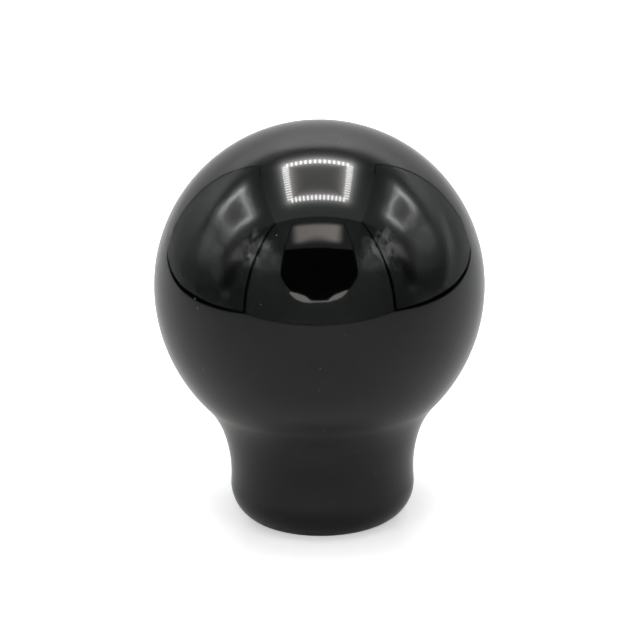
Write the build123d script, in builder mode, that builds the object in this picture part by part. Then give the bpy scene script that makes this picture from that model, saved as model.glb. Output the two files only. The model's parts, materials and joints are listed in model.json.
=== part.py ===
"""Gear shift knob: a ball on a short waisted neck, turned in one piece, with a tapped hole in its base."""

import os
from math import atan2, degrees, radians, sqrt, tan

from build123d import *

# Ball, in millimetres. Its lower half is a little fuller than a true sphere.
ball_diameter = 50.0
belly_radius = 26.1

# Neck: a hollow curve from the foot, in at the waist and out again to the crease under the ball
neck_height = 17.9
neck_flare = 2.8
waist_diameter = 27.75
waist_height = 7.6
crease_blend = 14.0

# Foot: the rounded edge between the neck and the flat base
foot_round = 5.65

# Tapped hole for the gear lever's stud. The wall stands at the thread's major diameter.
thread_diameter = 10.0
thread_depth = 30.0
lead_in = 0.9
drill_point_angle = 118.0

# Crease: where the neck's curve meets the belly
waist_radius = waist_diameter / 2
crease_radius = waist_radius + neck_flare

# Neck curve: an arc that stands upright at the waist and ends in the crease
neck_rise = neck_height - waist_height
neck_radius = (neck_flare**2 + neck_rise**2) / (2 * neck_flare)
neck_centre = (waist_radius + neck_radius, waist_height)

# Ball: its upper half is a true sphere, and the belly's arc leaves it at the equator
ball_radius = ball_diameter / 2
belly_offset = ball_radius - belly_radius
ball_height = neck_height + sqrt(belly_radius**2 - (crease_radius - belly_offset) ** 2)
ball_centre = (0.0, ball_height)
belly_centre = (belly_offset, ball_height)

# Crease blend: limited by the largest arc that fits between the waist and the belly
waist_reach = waist_radius - belly_offset
belly_rise = ball_height - waist_height
blend_room = (waist_reach**2 + belly_rise**2 - belly_radius**2) / (2 * (belly_radius - waist_reach))
blend_radius = min(crease_blend, blend_room)

# Foot: an arc that touches the base plane and runs smoothly into the neck's curve
foot_reach = sqrt((neck_radius + foot_round) ** 2 - (waist_height - foot_round) ** 2)
foot_centre = (neck_centre[0] - foot_reach, foot_round)

# Hole: mouth at the base, wall, and the cone that the drill leaves
thread_radius = thread_diameter / 2
mouth_radius = thread_radius + lead_in
drill_point = thread_radius / tan(radians(drill_point_angle / 2))


def direction(start, end):
    """Angle in degrees of the way from one point of the section to another."""
    return degrees(atan2(end[1] - start[1], end[0] - start[0]))


# Angles at which the arcs hand over to each other
foot_end = direction(foot_centre, neck_centre)
neck_start = foot_end + 180
neck_end = direction(neck_centre, (crease_radius, neck_height)) % 360
belly_start = direction(belly_centre, (crease_radius, neck_height))

with BuildPart() as knob:
    # Half section, with the knob's axis on Z, turned once round
    with BuildSketch(Plane.XZ) as section:
        with BuildLine() as outline:
            foot = CenterArc(foot_centre, foot_round, -90, 90 + foot_end)
            neck = CenterArc(neck_centre, neck_radius, neck_start, neck_end - neck_start)
            belly = CenterArc(belly_centre, belly_radius, belly_start, -belly_start)
            crown = CenterArc(ball_centre, ball_radius, 0, 90)
            hole = Polyline(
                (0, thread_depth + drill_point),
                (thread_radius, thread_depth),
                (thread_radius, lead_in),
                (mouth_radius, 0),
            )
            Line(crown @ 1, hole @ 0)
            Line(hole @ 1, foot @ 0)
        make_face()
        crease = section.vertices().sort_by_distance((crease_radius, neck_height))[0]
        fillet(crease, blend_radius)
    revolve(axis=Axis.Z)

knob.part.label = "knob_body"

os.makedirs("parts", exist_ok=True)
export_step(knob.part, "parts/knob_body.step")

print(f"overall height {ball_height + ball_radius:.2f} mm, base ring {2 * foot_centre[0]:.2f} mm across")
print(f"neck curve radius {neck_radius:.2f} mm, crease {2 * crease_radius:.2f} mm across")
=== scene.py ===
"""Gear shift knob in gloss black, built over its CAD frame and lit in a small studio tent."""

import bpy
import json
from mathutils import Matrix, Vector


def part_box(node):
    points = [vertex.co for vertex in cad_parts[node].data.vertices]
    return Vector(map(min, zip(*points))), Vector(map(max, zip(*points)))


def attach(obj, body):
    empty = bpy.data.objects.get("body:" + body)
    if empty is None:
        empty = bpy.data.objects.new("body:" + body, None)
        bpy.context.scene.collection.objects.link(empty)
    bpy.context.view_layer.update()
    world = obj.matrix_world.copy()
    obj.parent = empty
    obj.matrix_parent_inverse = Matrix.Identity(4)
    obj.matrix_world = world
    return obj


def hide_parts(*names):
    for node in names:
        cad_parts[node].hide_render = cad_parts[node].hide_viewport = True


bl_info = {
    "name": "Gear Shift Knob",
    "version": (1, 0, 0),
    "blender": (4, 5, 0),
    "location": "3D View > Sidebar > Knob",
    "description": "Builds a gloss black gear shift knob with its tapped hole, in a studio tent",
    "category": "Object",
}

import json
import math

import bmesh
import bpy
from bpy.props import FloatProperty, FloatVectorProperty, IntProperty, PointerProperty
from mathutils import Matrix, Vector

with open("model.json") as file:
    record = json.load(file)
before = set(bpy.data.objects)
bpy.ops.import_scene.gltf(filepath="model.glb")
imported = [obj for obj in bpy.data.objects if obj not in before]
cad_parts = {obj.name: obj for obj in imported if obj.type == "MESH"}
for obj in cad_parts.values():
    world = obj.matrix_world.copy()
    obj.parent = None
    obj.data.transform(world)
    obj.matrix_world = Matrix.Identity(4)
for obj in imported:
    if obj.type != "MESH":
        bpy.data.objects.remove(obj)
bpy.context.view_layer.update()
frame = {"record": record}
KNOB_NODE = "knob_body"
KNOB_LOW, KNOB_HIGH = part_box(KNOB_NODE)
STUD_HOLE = next(mount for mount in frame["record"]["mounts"] if mount["name"] == "stud_thread")
BODY = "root"
MM = 0.001

# Mesh steps along the arcs of the knob's section, once round the knob and in one turn of the thread
FOOT_STEPS = 28
NECK_STEPS = 14
BLEND_STEPS = 16
BELLY_STEPS = 44
CROWN_STEPS = 84
ROUND_STEPS = 240
THREAD_STEPS = 60

# Corners closer than this are merged, and edges sharper than this are broken
MERGE_DISTANCE = 0.001 * MM
SHARP_ANGLE = math.radians(25)

# Colour of the painted glow on the tent's cloth
CLOTH_LIGHT = "#F4FAF7"

# Turned-in rim of the tent's opening in three stretches, shown as a painted highlight: x, z and radius of
# their points, in millimetres
RIM_STRETCHES = (
    ((-90, 96, 3), (-70, 86, 8.5), (-46, 77, 9.5), (-24, 68, 2.5)),
    ((-24, 69, 1.8), (30, 70, 1.8)),
    ((26, 72, 2.5), (45, 80, 7.5), (63, 87, 7), (84, 99, 2.5)),
)


def linear(code):
    """An sRGB hex colour such as "#1A1B1C" as linear red, green, blue and alpha."""
    channels = [int(code[i : i + 2], 16) / 255 for i in (1, 3, 5)]
    return [c / 12.92 if c <= 0.04045 else ((c + 0.055) / 1.055) ** 2.4 for c in channels] + [1.0]


def length(name, millimetres, about):
    """A size in the sidebar, given in millimetres and kept in metres."""
    return FloatProperty(name=name, description=about, default=millimetres * MM, unit="LENGTH", precision=5)


def angle(name, degrees, about):
    """An angle in the sidebar, given in degrees and kept in radians."""
    return FloatProperty(name=name, description=about, default=math.radians(degrees), subtype="ANGLE")


def colour(name, code, about):
    """A colour in the sidebar, given as sRGB hex."""
    return FloatVectorProperty(name=name, description=about, default=linear(code), size=4, subtype="COLOR")


class KnobSizes(bpy.types.PropertyGroup):
    """Sizes of the turned knob and its tapped hole."""

    ball_diameter: length("Ball diameter", (KNOB_HIGH.y - KNOB_LOW.y) / MM, "Across the ball at its equator")
    overall_height: length("Overall height", KNOB_HIGH.z / MM, "From the base to the top of the ball")
    belly_radius: length("Belly radius", 26.1, "Curve of the ball's lower half, fuller than a sphere")
    neck_height: length("Neck height", 17.9, "From the base to the crease under the ball")
    waist_diameter: length("Waist diameter", 27.75, "Narrowest place of the neck")
    waist_height: length("Waist height", 7.6, "Height of the waist above the base")
    crease_blend: length("Crease blend", 14.0, "Radius that softens the crease between neck and ball")
    foot_round: length("Foot round", 5.65, "Radius of the edge round the base")
    thread_diameter: length("Thread diameter", 2 * STUD_HOLE["dims"]["r_mm"], "Major diameter of the thread")
    wall_length: length("Hole wall", STUD_HOLE["dims"]["length_mm"], "Length of the hole's straight wall")
    lead_in: length("Lead-in", 0.9, "Chamfer at the mouth of the hole")
    drill_point: angle("Drill point", 118, "Angle of the cone that the drill leaves")
    thread_pitch: length("Thread pitch", 1.5, "Rise of the thread in one turn")
    thread_turns: IntProperty(name="Thread turns", description="Full turns of thread in the hole", default=17)
    edge_break: length("Edge break", 0.1, "Rounding of the sharp edges of the hole")


class KnobColours(bpy.types.PropertyGroup):
    """Colours of the coat, the dust on it and the bare metal."""

    lacquer: colour("Lacquer", "#010202", "Black pigment under the gloss")
    dust: colour("Dust", "#666462", "Specks of dust on the coat")
    metal: colour("Bare metal", "#C4C6C8", "Machined metal in the tapped hole")


class TentSizes(bpy.types.PropertyGroup):
    """Sizes of the studio tent and the place of the camera."""

    width: length("Width", 620, "Between the side walls")
    front: length("Front", 253, "From the knob's axis to the front wall")
    back: length("Back", 368, "From the knob's axis to the hanging sheet")
    height: length("Height", 589, "From the floor to the roof")
    ring_width: length("Light ring width", 322, "Across the ring of lights in the roof")
    ring_depth: length("Light ring depth", 316, "From the ring's front row to its back row")
    ring_shift: length("Light ring shift", 60, "How far the ring's middle lies behind the knob")
    camera_distance: length("Camera distance", 900, "From the middle of the ball to the camera")
    camera_rise: angle("Camera rise", 18.31, "Angle at which the camera stands above the ball")
    camera_drop: angle("Camera drop", 0.339, "How far below the ball's middle the camera points")
    camera_roll: angle("Camera roll", 0.91, "How far the picture leans")
    lens: length("Lens", 335.4, "Focal length on a 36 mm sensor")


def add_node(tree, kind, inputs=None, **settings):
    """Adds one node with its settings, and its inputs as constants or as links from other sockets."""
    made = tree.nodes.new(kind)
    for name, value in settings.items():
        setattr(made, name, value)
    for socket, value in (inputs or {}).items():
        if isinstance(value, bpy.types.NodeSocket):
            tree.links.new(value, made.inputs[socket])
        else:
            made.inputs[socket].default_value = value
    return made


def ramp(tree, value, span, result, soft=False):
    """Runs from one result to the other while a value crosses a span, and stays level beyond its ends."""
    made = add_node(
        tree,
        "ShaderNodeMapRange",
        {
            "Value": value,
            "From Min": span[0],
            "From Max": span[1],
            "To Min": result[0],
            "To Max": result[1],
        },
        interpolation_type="SMOOTHSTEP" if soft else "LINEAR",
    )
    return made.outputs["Result"]


def calc(tree, operation, *values):
    """One step of arithmetic with numbers."""
    made = add_node(tree, "ShaderNodeMath", dict(enumerate(values)), operation=operation)
    return made.outputs["Value"]


def vector_calc(tree, operation, *values):
    """One step of arithmetic with vectors, which gives a vector or a number."""
    made = add_node(tree, "ShaderNodeVectorMath", dict(enumerate(values)), operation=operation)
    gives_number = operation in ("DISTANCE", "DOT_PRODUCT", "LENGTH")
    return made.outputs["Value" if gives_number else "Vector"]


def noise(tree, place, size, detail, distortion=0.0):
    """Cloudy pattern with patches of about the given size."""
    made = add_node(
        tree,
        "ShaderNodeTexNoise",
        {"Vector": place, "Scale": 1 / size, "Detail": detail, "Distortion": distortion},
    )
    return made.outputs["Fac"]


def bump(tree, height, strength, distance):
    """Normal of a surface that rises and falls with a pattern."""
    made = add_node(tree, "ShaderNodeBump", {"Height": height, "Strength": strength, "Distance": distance})
    return made.outputs["Normal"]


def mix_colours(tree, share, first, second):
    """A colour that goes from the first to the second. The node's colour sockets go by number."""
    made = add_node(tree, "ShaderNodeMix", {0: share, 6: first, 7: second}, data_type="RGBA")
    return made.outputs[2]


def emission(tree, tint, strength):
    """A shader that only glows."""
    made = add_node(tree, "ShaderNodeEmission", {"Color": tint, "Strength": strength})
    return made.outputs["Emission"]


def new_material(name):
    """An empty node material and its node tree."""
    material = bpy.data.materials.new(name)
    material.use_nodes = True
    material.node_tree.nodes.clear()
    return material, material.node_tree


def polished_black_lacquer(colours):
    """Black lacquer, sprayed on and polished."""
    # Deep black under a mirror-like skin that sharpens and softens a little, with a few specks of dust on it
    material, tree = new_material("polished_black_lacquer")
    place = add_node(tree, "ShaderNodeTexCoord").outputs["Object"]
    # Orange peel: the faint swell that spraying leaves, about 2 mm from crest to crest
    peel = noise(tree, place, size=2.0 * MM, detail=1.0)
    skin = bump(tree, peel, strength=0.02, distance=0.02 * MM)
    # Polish: haze comes and goes over about 12 mm
    haze = noise(tree, place, size=12.0 * MM, detail=3.0)
    polish = ramp(tree, haze, (0.35, 0.7), (0.045, 0.065))
    # Dust: a speck where the skin cuts one of the points strewn 3.3 mm apart, most under 0.1 mm in radius.
    # The pattern is mirrored and turned so that most of it lies on the left.
    spacing, largest = 3.3 * MM, 0.17 * MM
    turned = add_node(
        tree,
        "ShaderNodeMapping",
        {"Vector": place, "Rotation": (0, 0, math.radians(110)), "Scale": (-1, 1, 1)},
    )
    strewn = add_node(
        tree,
        "ShaderNodeTexVoronoi",
        {"Vector": turned.outputs["Vector"], "Scale": 1 / spacing},
    )
    radius = calc(tree, "MULTIPLY", strewn.outputs["Color"], largest / spacing)
    speck = calc(tree, "LESS_THAN", strewn.outputs["Distance"], radius)
    tint = mix_colours(tree, speck, colours.lacquer, colours.dust)
    dull = calc(tree, "MAXIMUM", polish, speck)
    shader = add_node(
        tree,
        "ShaderNodeBsdfPrincipled",
        {"Base Color": tint, "Roughness": dull, "IOR": 1.45, "Normal": skin},
    )
    add_node(tree, "ShaderNodeOutputMaterial", {"Surface": shader.outputs["BSDF"]})
    return material


def machined_aluminium(colours):
    """Bare aluminium, drilled and tapped."""
    material, tree = new_material("machined_aluminium")
    place = add_node(tree, "ShaderNodeTexCoord").outputs["Object"]
    # Bright metal with tool rings. They are drawn 0.3 mm apart, coarser than real ones, so that they show.
    # The rings of a wave texture of scale 1 lie pi / 10 apart.
    rings = add_node(
        tree,
        "ShaderNodeTexWave",
        {"Vector": place, "Scale": math.pi / 10 / (0.3 * MM), "Distortion": 0.4},
        bands_direction="Z",
    )
    grooves = bump(tree, rings.outputs["Fac"], strength=0.25, distance=0.02 * MM)
    # Smears of cutting oil that dull the metal, about 4 mm across
    smears = noise(tree, place, size=4.0 * MM, detail=2.0)
    polish = ramp(tree, smears, (0.3, 0.7), (0.26, 0.42))
    shader = add_node(
        tree,
        "ShaderNodeBsdfPrincipled",
        {"Base Color": colours.metal, "Metallic": 1.0, "Roughness": polish, "Normal": grooves},
    )
    add_node(tree, "ShaderNodeOutputMaterial", {"Surface": shader.outputs["BSDF"]})
    return material


def finished_object(name, bm, *materials):
    """Turns a bmesh into an object at the origin with its materials."""
    mesh = bpy.data.meshes.new(name)
    bm.to_mesh(mesh)
    bm.free()
    for material in materials:
        mesh.materials.append(material)
    made = bpy.data.objects.new(name, mesh)
    bpy.context.scene.collection.objects.link(made)
    return made


def line_to(bm, tip, *place):
    """Draws a straight edge from a point to a new one and returns the new one."""
    end = bmesh.ops.extrude_vert_indiv(bm, verts=[tip])["verts"][0]
    end.co = place
    return end


def turn_about(bm, tip, pivot, axis, turn, steps):
    """Draws an arc about an axis and returns its end."""
    made = bmesh.ops.spin(bm, geom=[tip], cent=pivot, axis=axis, angle=turn, steps=steps)
    return next(part for part in made["geom_last"] if isinstance(part, bmesh.types.BMVert))


def arc_about(bm, tip, centre, turn, steps):
    """Draws an arc in the XZ plane about a centre and returns its end. A positive turn is anticlockwise."""
    return turn_about(bm, tip, (centre.x, tip.co.y, centre.y), (0, -1, 0), turn, steps)


def heading(start, end):
    """Angle of the way from one point of the section to another."""
    way = end - start
    return math.atan2(way.y, way.x)


def blend_room(sizes, belly):
    """Radius of the largest arc that fits between the waist and the belly."""
    waist = Vector((sizes.waist_diameter / 2, sizes.waist_height))
    clear = (waist - belly).length_squared - sizes.belly_radius**2
    return clear / (2 * (sizes.belly_radius + belly.x - waist.x))


def blend_centre(neck, neck_radius, belly, belly_radius, blend):
    """Centre of the arc that runs smoothly from the neck's hollow curve into the belly."""
    span = (neck - belly).length
    to_belly, to_neck = belly_radius + blend, neck_radius - blend
    along = (span**2 + to_belly**2 - to_neck**2) / (2 * span)
    aside = math.sqrt(to_belly**2 - along**2)
    way = (neck - belly) / span
    return belly + way * along + Vector((way.y, -way.x)) * aside


def drill_tip(sizes):
    """Height of the point of the cone at the end of the hole."""
    return sizes.lead_in + sizes.wall_length + sizes.thread_diameter / 2 / math.tan(sizes.drill_point / 2)


def draw_section(bm, sizes):
    """Draws the knob's half section: hole, base, foot, neck, belly and crown, with the axis on Z."""
    hole_radius = sizes.thread_diameter / 2
    ball_radius = sizes.ball_diameter / 2
    ball = Vector((0, sizes.overall_height - ball_radius))
    belly = Vector((ball_radius - sizes.belly_radius, ball.y))
    crease_radius = belly.x + math.sqrt(sizes.belly_radius**2 - (ball.y - sizes.neck_height) ** 2)
    flare = crease_radius - sizes.waist_diameter / 2
    rise = sizes.neck_height - sizes.waist_height
    neck_radius = (flare**2 + rise**2) / (2 * flare)
    neck = Vector((sizes.waist_diameter / 2 + neck_radius, sizes.waist_height))
    reach = math.sqrt((neck_radius + sizes.foot_round) ** 2 - (sizes.waist_height - sizes.foot_round) ** 2)
    foot = Vector((neck.x - reach, sizes.foot_round))
    blend_radius = min(sizes.crease_blend, blend_room(sizes, belly))
    blend = blend_centre(neck, neck_radius, belly, sizes.belly_radius, blend_radius)
    foot_end = heading(foot, neck)
    neck_end = heading(neck, blend)
    belly_start = heading(belly, blend)
    tip = bm.verts.new((0, 0, drill_tip(sizes)))
    tip = line_to(bm, tip, hole_radius, 0, sizes.lead_in + sizes.wall_length)
    tip = line_to(bm, tip, hole_radius, 0, sizes.lead_in)
    tip = line_to(bm, tip, hole_radius + sizes.lead_in, 0, 0)
    tip = line_to(bm, tip, foot.x, 0, 0)
    tip = arc_about(bm, tip, foot, math.pi / 2 + foot_end, FOOT_STEPS)
    tip = arc_about(bm, tip, neck, neck_end - foot_end - math.pi, NECK_STEPS)
    tip = arc_about(bm, tip, blend, belly_start + math.pi - neck_end, BLEND_STEPS)
    tip = arc_about(bm, tip, belly, -belly_start, BELLY_STEPS)
    arc_about(bm, tip, ball, math.pi / 2, CROWN_STEPS)


class KNOB_OT_body(bpy.types.Operator):
    """Turn the knob from its half section and give it its lacquer"""

    bl_idname = "knob.body"
    bl_label = "Knob body"

    def execute(self, context):
        sizes, colours = context.scene.knob_sizes, context.scene.knob_colours
        bm = bmesh.new()
        draw_section(bm, sizes)
        bmesh.ops.spin(
            bm,
            geom=bm.verts[:] + bm.edges[:],
            cent=(0, 0, 0),
            axis=(0, 0, 1),
            angle=2 * math.pi,
            steps=ROUND_STEPS,
            use_merge=True,
        )
        bmesh.ops.remove_doubles(bm, verts=bm.verts, dist=MERGE_DISTANCE)
        bmesh.ops.recalc_face_normals(bm, faces=bm.faces)
        sharp = [edge for edge in bm.edges if edge.calc_face_angle() > SHARP_ANGLE]
        bmesh.ops.bevel(
            bm,
            geom=sharp,
            offset=sizes.edge_break,
            segments=2,
            profile=0.5,
            affect="EDGES",
            material=-1,
        )
        # The hole is cut through the coat, so it shows bare metal from its mouth to its end
        mouth = sizes.thread_diameter / 2 + sizes.lead_in - sizes.edge_break
        for face in bm.faces:
            face.smooth = True
            middle = face.calc_center_median()
            face.material_index = int(middle.xy.length < mouth and middle.z < drill_tip(sizes))
        knob = finished_object("knob", bm, polished_black_lacquer(colours), machined_aluminium(colours))
        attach(knob, BODY)
        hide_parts(KNOB_NODE)
        return {"FINISHED"}


class KNOB_OT_thread(bpy.types.Operator):
    """Cut the thread's turns in the hole, as one ridge that winds up its wall"""

    bl_idname = "knob.thread"
    bl_label = "Thread"

    def execute(self, context):
        sizes, colours = context.scene.knob_sizes, context.scene.knob_colours
        pitch, wall = sizes.thread_pitch, sizes.thread_diameter / 2
        # Flanks 60 degrees apart, a quarter of the pitch flat on the crest and an eighth between the turns
        flank, crest = 5 / 16 * pitch, 1 / 4 * pitch
        inner = wall - flank * math.sqrt(3)
        # The ridge is rooted a little way into the wall
        outer = wall + 0.03 * MM
        low = sizes.lead_in
        bm = bmesh.new()
        tip = start = bm.verts.new((outer, 0, low))
        tip = line_to(bm, tip, inner, 0, low + flank)
        tip = line_to(bm, tip, inner, 0, low + flank + crest)
        tip = line_to(bm, tip, outer, 0, low + flank + crest + flank)
        bm.edges.new((tip, start))
        bmesh.ops.contextual_create(bm, geom=bm.edges[:])
        corners = len(bm.verts)
        last = THREAD_STEPS * sizes.thread_turns
        bmesh.ops.spin(
            bm,
            geom=bm.verts[:] + bm.edges[:] + bm.faces[:],
            cent=(0, 0, 0),
            axis=(0, 0, 1),
            dvec=(0, 0, pitch / THREAD_STEPS),
            angle=2 * math.pi * sizes.thread_turns,
            steps=last,
        )
        bmesh.ops.recalc_face_normals(bm, faces=bm.faces)
        # The first and last half turn fade into the wall, down to a fiftieth of their height
        for index, vert in enumerate(bm.verts):
            step = index // corners
            fade = min(1.0, 2 * min(step, last - step) / THREAD_STEPS)
            across = vert.co.xy.length
            vert.co.xy *= (wall + (across - wall) * max(fade, 1 / 50)) / across
        thread = finished_object("thread_turns", bm, machined_aluminium(colours))
        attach(thread, BODY)
        return {"FINISHED"}


def panel(bm, centre, across, up):
    """Adds a flat rectangle to a bmesh, from its middle and its two sides."""
    across, up = Vector(across), Vector(up)
    turned = Matrix((across / 2, up / 2, across.cross(up).normalized())).transposed().to_4x4()
    bmesh.ops.create_grid(bm, x_segments=1, y_segments=1, size=1, matrix=Matrix.Translation(centre) @ turned)


def rod(bm, start, end, start_radius, end_radius):
    """Adds a round rod to a bmesh, such as a dark rod along an edge of the tent."""
    start, end = Vector(start), Vector(end)
    way = end - start
    turned = way.to_track_quat("Z", "Y").to_matrix().to_4x4()
    bmesh.ops.create_cone(
        bm,
        segments=10,
        radius1=start_radius,
        radius2=end_radius,
        depth=way.length,
        matrix=Matrix.Translation((start + end) / 2) @ turned,
    )


def glow(name, code, strength):
    """A plain even glow."""
    material, tree = new_material(name)
    light = emission(tree, linear(code), strength)
    add_node(tree, "ShaderNodeOutputMaterial", {"Surface": light})
    return material


def silver_cloth(name, code, strength, swell):
    """Silver cloth that lines the tent: a dull mirror in loose folds, with a painted glow, painted glints
    where it is crumpled beside the front seams, and a painted highlight on a fold.
    """
    material, tree = new_material(name)
    place = add_node(tree, "ShaderNodeTexCoord").outputs["Object"]
    axes = add_node(tree, "ShaderNodeSeparateXYZ", {"Vector": place}).outputs
    folds = noise(tree, place, size=160 * MM, detail=2.0)
    loose = bump(tree, folds, strength=1.0, distance=5.0 * MM)
    # It leans out towards the roof by about two degrees. The left wall stands straighter than that,
    # and the right one swells inwards half way up.
    tilt = math.radians(2.3)
    height = ramp(tree, axes["Z"], (250 * MM, 410 * MM), (-1, 1))
    side = ramp(tree, axes["X"], (-300 * MM, 300 * MM), (-0.4, height))
    slope = calc(tree, "MULTIPLY_ADD", side, swell, tilt)
    outward = add_node(tree, "ShaderNodeCombineXYZ", {"Z": slope})
    lean = vector_calc(tree, "ADD", loose, outward.outputs["Vector"])
    mirror = add_node(
        tree,
        "ShaderNodeBsdfGlossy",
        {"Color": linear(code), "Roughness": 0.23, "Normal": lean},
    )
    # Painted glints where the cloth is crumpled, in patches about 45 mm across and only near the seams, on
    # the left and on the right
    seam = (300 * MM, -210 * MM, 300 * MM)
    aside = calc(tree, "ABSOLUTE", axes["X"])
    mirrored = add_node(tree, "ShaderNodeCombineXYZ", {"X": aside, "Y": axes["Y"], "Z": axes["Z"]})
    away = vector_calc(tree, "DISTANCE", mirrored.outputs["Vector"], seam)
    near = ramp(tree, away, (125 * MM, 50 * MM), (0, 1), soft=True)
    crumple = noise(tree, place, size=45 * MM, detail=3.0, distortion=1.0)
    painted_crumple_glint = ramp(tree, crumple, (0.45, 0.65), (0, 2.3))
    # Painted glow: the side walls glow more towards the back and the roof, the front wall more below
    rise = vector_calc(tree, "DOT_PRODUCT", place, (0, 0.6, 0.8))
    painted_glow = ramp(tree, rise, (50 * MM, 400 * MM), (strength, 0.12))
    # Painted highlight where a fold catches light low on the right wall. It slants upwards to the back and is
    # brightest 95 mm up.
    slant = vector_calc(tree, "DOT_PRODUCT", place, (0, 1, -1))
    above = ramp(tree, axes["Z"], (210 * MM, 95 * MM), (0.05, 0.65))
    crest = ramp(tree, axes["Z"], (20 * MM, 95 * MM), (0.15, above))
    behind = ramp(tree, slant, (28 * MM, 85 * MM), (crest, 0.1), soft=True)
    before = ramp(tree, slant, (-40 * MM, 28 * MM), (0, behind), soft=True)
    painted_fold_glint = ramp(tree, axes["X"], (0, 300 * MM), (painted_glow, before))
    base = calc(tree, "MAXIMUM", painted_glow, painted_fold_glint)
    bright = calc(tree, "MULTIPLY_ADD", near, painted_crumple_glint, base)
    light = emission(tree, linear(CLOTH_LIGHT), bright)
    both = add_node(tree, "ShaderNodeAddShader", {0: mirror.outputs["BSDF"], 1: light})
    add_node(tree, "ShaderNodeOutputMaterial", {"Surface": both.outputs["Shader"]})
    material.cycles.emission_sampling = "NONE"
    return material


def ring_glow(tent):
    """Roof cloth round the lights, with a halo along them and an even light inside the ring."""
    material, tree = new_material("lit_roof_cloth")
    place = add_node(tree, "ShaderNodeTexCoord").outputs["Object"]
    axes = add_node(tree, "ShaderNodeSeparateXYZ", {"Vector": place}).outputs
    # Distance from the rectangle of lights, negative inside it
    centred = vector_calc(tree, "SUBTRACT", place, (0, tent.ring_shift, tent.height))
    folded = vector_calc(tree, "ABSOLUTE", centred)
    beyond = vector_calc(tree, "SUBTRACT", folded, (tent.ring_width / 2, tent.ring_depth / 2, 0))
    sides = add_node(tree, "ShaderNodeSeparateXYZ", {"Vector": beyond}).outputs
    nearer = calc(tree, "MAXIMUM", sides["X"], sides["Y"])
    within = calc(tree, "MINIMUM", nearer, 0)
    corner = vector_calc(tree, "MAXIMUM", beyond, (0, 0, 0))
    # The halo reaches further behind the back row than elsewhere
    shrink = ramp(tree, axes["Y"], (tent.ring_shift - 1 * MM, tent.ring_shift + 1 * MM), (1.0, 0.63))
    stretch = add_node(tree, "ShaderNodeCombineXYZ", {"X": 1.0, "Y": shrink, "Z": 1.0})
    spread = vector_calc(tree, "MULTIPLY", corner, stretch.outputs["Vector"])
    reach = vector_calc(tree, "LENGTH", spread)
    away = calc(tree, "ADD", reach, within)
    # Even light: brightest inside the ring, and outside it brighter towards the front
    outside = ramp(tree, axes["Y"], (200 * MM, -tent.front), (0.33, 0.85))
    even = ramp(tree, away, (50 * MM, -20 * MM), (outside, 1.6), soft=True)
    # Halo: level along the lights themselves, then fading with the distance from them
    fading, strength = 20.3 * MM, 13.5
    apart = calc(tree, "ABSOLUTE", away)
    edge = calc(tree, "MAXIMUM", apart, 8 * MM)
    decay = calc(tree, "MULTIPLY", edge, -1 / fading)
    halo = calc(tree, "EXPONENT", decay)
    bright = calc(tree, "MULTIPLY_ADD", halo, strength, even)
    # It is a little warmer inside the ring than outside
    warmth = ramp(tree, away, (45 * MM, 5 * MM), (0, 1))
    tint = mix_colours(tree, warmth, linear("#FBFFFE"), linear("#FFFCFA"))
    light = emission(tree, tint, bright)
    add_node(tree, "ShaderNodeOutputMaterial", {"Surface": light})
    material.cycles.emission_sampling = "NONE"
    return material


def lit_flap():
    """Pale flap above the opening, drawn only as a painted glow, brightest in its middle and fading to its
    edges.
    """
    material, tree = new_material("flap_cloth_painted_light")
    place = add_node(tree, "ShaderNodeTexCoord").outputs["Object"]
    # The lit part lies a little left of its middle
    middle = vector_calc(tree, "ADD", place, (6.5 * MM, 0, 0))
    axes = add_node(tree, "ShaderNodeSeparateXYZ", {"Vector": middle}).outputs
    aside = calc(tree, "ABSOLUTE", axes["X"])
    # It widens towards the roof
    widening, arching = 0.23, 7.5
    widen = calc(tree, "MULTIPLY_ADD", axes["Z"], -widening, aside)
    across = ramp(tree, widen, (48 * MM, -5 * MM), (0, 1), soft=True)
    # It ends in a soft arch above the hem, higher in the middle than at the sides
    square = calc(tree, "POWER", aside, 2.0)
    arch = calc(tree, "MULTIPLY_ADD", square, arching, axes["Z"])
    lower = ramp(tree, arch, (276 * MM, 376 * MM), (0, 1), soft=True)
    hem = ramp(tree, axes["Z"], (286 * MM, 329 * MM), (0, lower), soft=True)
    upper = ramp(tree, axes["Z"], (492 * MM, 435 * MM), (0, 3.65), soft=True)
    tall = calc(tree, "MULTIPLY", hem, upper)
    # More light falls on its right
    right = ramp(tree, axes["X"], (-100 * MM, 100 * MM), (0.9, 1.15))
    spread = calc(tree, "MULTIPLY", across, right)
    lit = calc(tree, "MULTIPLY", tall, spread)
    # The rest of the flap glows evenly, and is cooler than the lit part
    even = 0.4
    bright = calc(tree, "ADD", lit, even)
    tint = mix_colours(tree, lit, linear(CLOTH_LIGHT), linear("#FFF8F2"))
    light = emission(tree, tint, bright)
    add_node(tree, "ShaderNodeOutputMaterial", {"Surface": light})
    material.cycles.emission_sampling = "NONE"
    return material


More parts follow.
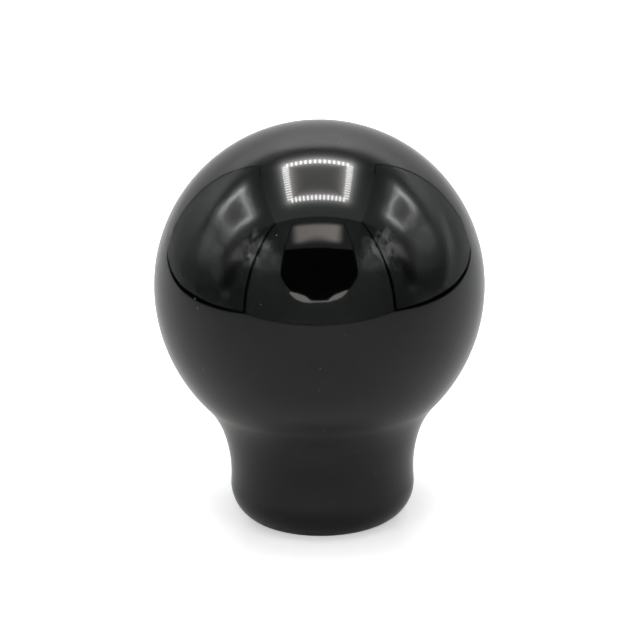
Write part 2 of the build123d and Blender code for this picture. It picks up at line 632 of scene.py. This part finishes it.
def white_sheet():
    """White vinyl sheet under and behind the knob."""
    # White where it is seen, with the knob's shadow and a painted shade close to the foot on it, and much as
    # it is lit where the lacquer mirrors it, with a faint painted glow added there
    material, tree = new_material("white_vinyl_sheet")
    place = add_node(tree, "ShaderNodeTexCoord").outputs["Object"]
    axes = add_node(tree, "ShaderNodeSeparateXYZ", {"Vector": place}).outputs
    path = add_node(tree, "ShaderNodeLightPath").outputs
    seen = calc(tree, "MAXIMUM", path["Is Camera Ray"], path["Is Transmission Ray"])
    # Painted shade: the whitening is weaker close to the foot, around a point a little behind the knob's
    # axis, so the sheet darkens there along with the knob's shadow; further off the sheet is plain white
    shadow_middle = (0, 9 * MM, 0)
    away = vector_calc(tree, "DISTANCE", place, shadow_middle)
    painted_shade_lift = ramp(tree, away, (10 * MM, 20 * MM), (0.33, 0.61))
    white = ramp(tree, away, (20 * MM, 60 * MM), (painted_shade_lift, 1.0))
    # Painted glow on the sheet where the lacquer mirrors it, growing from 0.04 to 0.13 away from the knob
    painted_mirror_glow = ramp(tree, away, (60 * MM, 260 * MM), (0.04, 0.13))
    mirrored = calc(tree, "MULTIPLY", path["Is Glossy Ray"], painted_mirror_glow)
    lift = calc(tree, "MULTIPLY_ADD", seen, white, mirrored)
    # Where the sheet hangs, a painted glow brightens it, most of all at three quarters of its height
    lower = ramp(tree, axes["Z"], (180 * MM, 420 * MM), (0, 0.6), soft=True)
    # Painted shade: its top corners stay darker, as the glow fades there
    painted_corner_shade_slope = 0.3
    aside = calc(tree, "ABSOLUTE", axes["X"])
    corner = calc(tree, "MULTIPLY_ADD", aside, painted_corner_shade_slope, axes["Z"])
    upper = ramp(tree, corner, (570 * MM, 460 * MM), (0, 1), soft=True)
    bright = calc(tree, "MULTIPLY_ADD", lower, upper, lift)
    shader = add_node(
        tree,
        "ShaderNodeBsdfPrincipled",
        {
            "Base Color": linear("#E2E2E2"),
            "Roughness": 0.35,
            "Emission Color": linear("#FFFFFF"),
            "Emission Strength": bright,
        },
    )
    add_node(tree, "ShaderNodeOutputMaterial", {"Surface": shader.outputs["BSDF"]})
    material.cycles.emission_sampling = "NONE"
    return material


def hide_from_camera(*objects):
    """These stage pieces light the knob and are mirrored in it, and the camera looks through them."""
    for made in objects:
        made.visible_camera = False


def build_sheet(tent):
    """Floor and hanging backdrop of the tent, with a bend between them."""
    white = white_sheet()
    half, bend = tent.width / 2, 60 * MM
    edge, top = tent.back - bend, tent.height - 5 * MM
    floor = bmesh.new()
    panel(floor, (0, (edge - tent.front) / 2, 0), (tent.width, 0, 0), (0, edge + tent.front, 0))
    finished_object("floor_sheet", floor, white)
    hanging = bmesh.new()
    tip = hanging.verts.new((-half, edge, 0))
    tip = turn_about(hanging, tip, (0, edge, bend), (1, 0, 0), math.pi / 2, steps=10)
    line_to(hanging, tip, -half, tent.back, top)
    side = bmesh.ops.extrude_edge_only(hanging, edges=hanging.edges[:])["geom"]
    moved = [part for part in side if isinstance(part, bmesh.types.BMVert)]
    bmesh.ops.translate(hanging, verts=moved, vec=(tent.width, 0, 0))
    hide_from_camera(finished_object("hanging_sheet", hanging, white))


def build_walls(tent):
    """Side walls, front wall and roof, with dark rods along their edges."""
    half, middle, depth = tent.width / 2, (tent.back - tent.front) / 2, tent.back + tent.front
    sides = bmesh.new()
    for x in (-half, half):
        panel(sides, (x, middle, tent.height / 2), (0, depth, 0), (0, 0, tent.height))
    front = bmesh.new()
    panel(front, (0, -tent.front, tent.height / 2), (tent.width, 0, 0), (0, 0, tent.height))
    roof = bmesh.new()
    panel(roof, (0, middle, tent.height), (tent.width, 0, 0), (0, depth, 0))
    # Dark rods along the edges, tapering from rod to rod; along the foot of each side wall they are thickest
    # beside the knob
    dark_rods = bmesh.new()
    for x in (-half, half):
        front_foot, front_top = (x, -tent.front, 0), (x, -tent.front, tent.height)
        back_foot, back_top = (x, tent.back, 0), (x, tent.back, tent.height)
        beside_knob, roof_start = (x, 0, 0), (x, 220 * MM, tent.height)
        rod(dark_rods, front_foot, front_top, 9 * MM, 6 * MM)
        rod(dark_rods, front_foot, beside_knob, 8 * MM, 12 * MM)
        rod(dark_rods, beside_knob, back_foot, 12 * MM, 5 * MM)
        rod(dark_rods, roof_start, back_top, 3 * MM, 3 * MM)
        rod(dark_rods, back_foot, back_top, 5 * MM, 4 * MM)
    rod(dark_rods, (-half, -tent.front, 0), (half, -tent.front, 0), 2 * MM, 2 * MM)
    lit_roof = finished_object("roof", roof, ring_glow(tent))
    # The roof's cloth only shows in what mirrors it, and casts no light on the sheet
    lit_roof.visible_diffuse = False
    side_cloth = silver_cloth("side_cloth", "#C2C4C4", strength=0.02, swell=0.045)
    front_cloth = silver_cloth("front_cloth", "#8C8E8E", strength=0.22, swell=0.0)
    hide_from_camera(
        lit_roof,
        finished_object("side_walls", sides, side_cloth),
        finished_object("front_wall", front, front_cloth),
        finished_object("dark_rods", dark_rods, glow("dark_edge_rods", "#000000", 0.0)),
    )


def build_front_opening(tent):
    """Dark opening in the front wall for the camera, with a pale turned-in rim shown as a painted highlight
    and a flap hung above it.
    """
    inside = -tent.front + 2 * MM
    # The opening is round below, and its straight sides lean out to two top corners
    radius, centre_height, reach = 148 * MM, 221 * MM, 136 * MM
    left_top, right_top = (-143 * MM, inside, 274 * MM), (142 * MM, inside, 266 * MM)
    swing = math.asin(reach / radius)
    opening = bmesh.new()
    tip = start = opening.verts.new(left_top)
    tip = line_to(opening, tip, -reach, inside, centre_height - radius * math.cos(swing))
    tip = arc_about(opening, tip, Vector((0, centre_height)), 2 * swing, steps=24)
    tip = line_to(opening, tip, *right_top)
    opening.edges.new((tip, start))
    bmesh.ops.contextual_create(opening, geom=opening.edges[:])
    flap_width, flap_height, flap_middle = 296 * MM, 236 * MM, 390 * MM
    flap = bmesh.new()
    panel(flap, (0, inside - 1 * MM, flap_middle), (flap_width, 0, 0), (0, 0, flap_height))
    # The rim's lips glow as a painted highlight
    lips = bmesh.new()
    for stretch in RIM_STRETCHES:
        for (x1, z1, r1), (x2, z2, r2) in zip(stretch, stretch[1:]):
            rod(lips, (x1 * MM, inside, z1 * MM), (x2 * MM, inside, z2 * MM), r1 * MM, r2 * MM)
    seams = bmesh.new()
    for side in (-1, 1):
        seam_top, seam_foot = (side * 152 * MM, inside, 510 * MM), (side * 143 * MM, inside, 270 * MM)
        rod(seams, seam_top, seam_foot, 2 * MM, 2 * MM)
    hide_from_camera(
        finished_object("camera_opening", opening, glow("dark_room", "#FFFFFF", 0.02)),
        finished_object("front_flap", flap, lit_flap()),
        finished_object("opening_lips", lips, glow("painted_rim_highlight", "#FFFCF4", 3.8)),
        finished_object("flap_seams", seams, glow("black_seam", "#000000", 0.0)),
    )


def build_lights(tent):
    """Ring of small lights under the roof."""
    # Each light is longer across its row than along it
    row_count, row_width, row_depth = 14, 9 * MM, 38 * MM
    side_count, side_width, side_depth = 15, 34 * MM, 7 * MM
    height = tent.height - 3 * MM
    half_w, half_d = tent.ring_width / 2, tent.ring_depth / 2
    bm = bmesh.new()
    for index in range(row_count):
        x = -half_w + tent.ring_width * (index + 0.5) / row_count
        for y in (-half_d, half_d):
            panel(bm, (x, tent.ring_shift + y, height), (row_width, 0, 0), (0, row_depth, 0))
    for index in range(side_count):
        y = -half_d + tent.ring_depth * (index + 0.5) / side_count
        for x in (-half_w, half_w):
            panel(bm, (x, tent.ring_shift + y, height), (side_width, 0, 0), (0, side_depth, 0))
    hide_from_camera(finished_object("light_ring", bm, glow("cool_white_light", "#FCFFFC", 31.0)))


def build_world(scene):
    """White surroundings for what the camera sees past the tent's floor."""
    world = bpy.data.worlds.new("surroundings")
    world.use_nodes = True
    tree = world.node_tree
    tree.nodes.clear()
    path = add_node(tree, "ShaderNodeLightPath").outputs
    straight = calc(tree, "MAXIMUM", path["Is Camera Ray"], path["Is Glossy Ray"])
    seen = calc(tree, "MAXIMUM", straight, path["Is Transmission Ray"])
    sky = add_node(tree, "ShaderNodeBackground", {"Color": linear("#FFFFFF"), "Strength": seen})
    add_node(tree, "ShaderNodeOutputWorld", {"Surface": sky.outputs["Background"]})
    scene.world = world


def build_camera(scene, tent, sizes):
    """Camera in front of the tent, looking slightly down on the knob."""
    data = bpy.data.cameras.new("camera")
    data.lens = tent.lens / MM
    data.sensor_width = 36
    data.clip_start, data.clip_end = 0.05, 10
    camera = bpy.data.objects.new("camera", data)
    scene.collection.objects.link(camera)
    ball = Vector((0, 0, sizes.overall_height - sizes.ball_diameter / 2))
    back = Vector((0, -math.cos(tent.camera_rise), math.sin(tent.camera_rise)))
    look = Matrix.Rotation(math.pi / 2 - tent.camera_rise - tent.camera_drop, 4, "X")
    lean = Matrix.Rotation(-tent.camera_roll, 4, "Z")
    camera.matrix_world = Matrix.Translation(ball + back * tent.camera_distance) @ look @ lean
    scene.camera = camera


class KNOB_OT_stage(bpy.types.Operator):
    """Set up the studio tent, its lights and the camera"""

    bl_idname = "knob.stage"
    bl_label = "Stage"

    def execute(self, context):
        scene = context.scene
        tent = scene.knob_tent
        build_sheet(tent)
        build_walls(tent)
        build_front_opening(tent)
        build_lights(tent)
        build_world(scene)
        build_camera(scene, tent, scene.knob_sizes)
        scene.view_settings.view_transform = "Standard"
        return {"FINISHED"}


class KNOB_PT_panel(bpy.types.Panel):
    """Sizes, colours and steps of the knob"""

    bl_label = "Gear shift knob"
    bl_space_type = "VIEW_3D"
    bl_region_type = "UI"
    bl_category = "Knob"

    def draw(self, context):
        scene = context.scene
        for group in (scene.knob_sizes, scene.knob_colours, scene.knob_tent):
            box = self.layout.box()
            for name in group.__annotations__:
                box.prop(group, name)
        for operator in (KNOB_OT_body, KNOB_OT_thread, KNOB_OT_stage):
            self.layout.operator(operator.bl_idname)


CLASSES = (
    KnobSizes,
    KnobColours,
    TentSizes,
    KNOB_OT_body,
    KNOB_OT_thread,
    KNOB_OT_stage,
    KNOB_PT_panel,
)


def register():
    for cls in CLASSES:
        bpy.utils.register_class(cls)
    bpy.types.Scene.knob_sizes = PointerProperty(type=KnobSizes)
    bpy.types.Scene.knob_colours = PointerProperty(type=KnobColours)
    bpy.types.Scene.knob_tent = PointerProperty(type=TentSizes)


def unregister():
    del bpy.types.Scene.knob_tent
    del bpy.types.Scene.knob_colours
    del bpy.types.Scene.knob_sizes
    for cls in reversed(CLASSES):
        bpy.utils.unregister_class(cls)


def main():
    register()
    bpy.ops.knob.body()
    bpy.ops.knob.thread()
    bpy.ops.knob.stage()


if __name__ == "__main__":
    main()
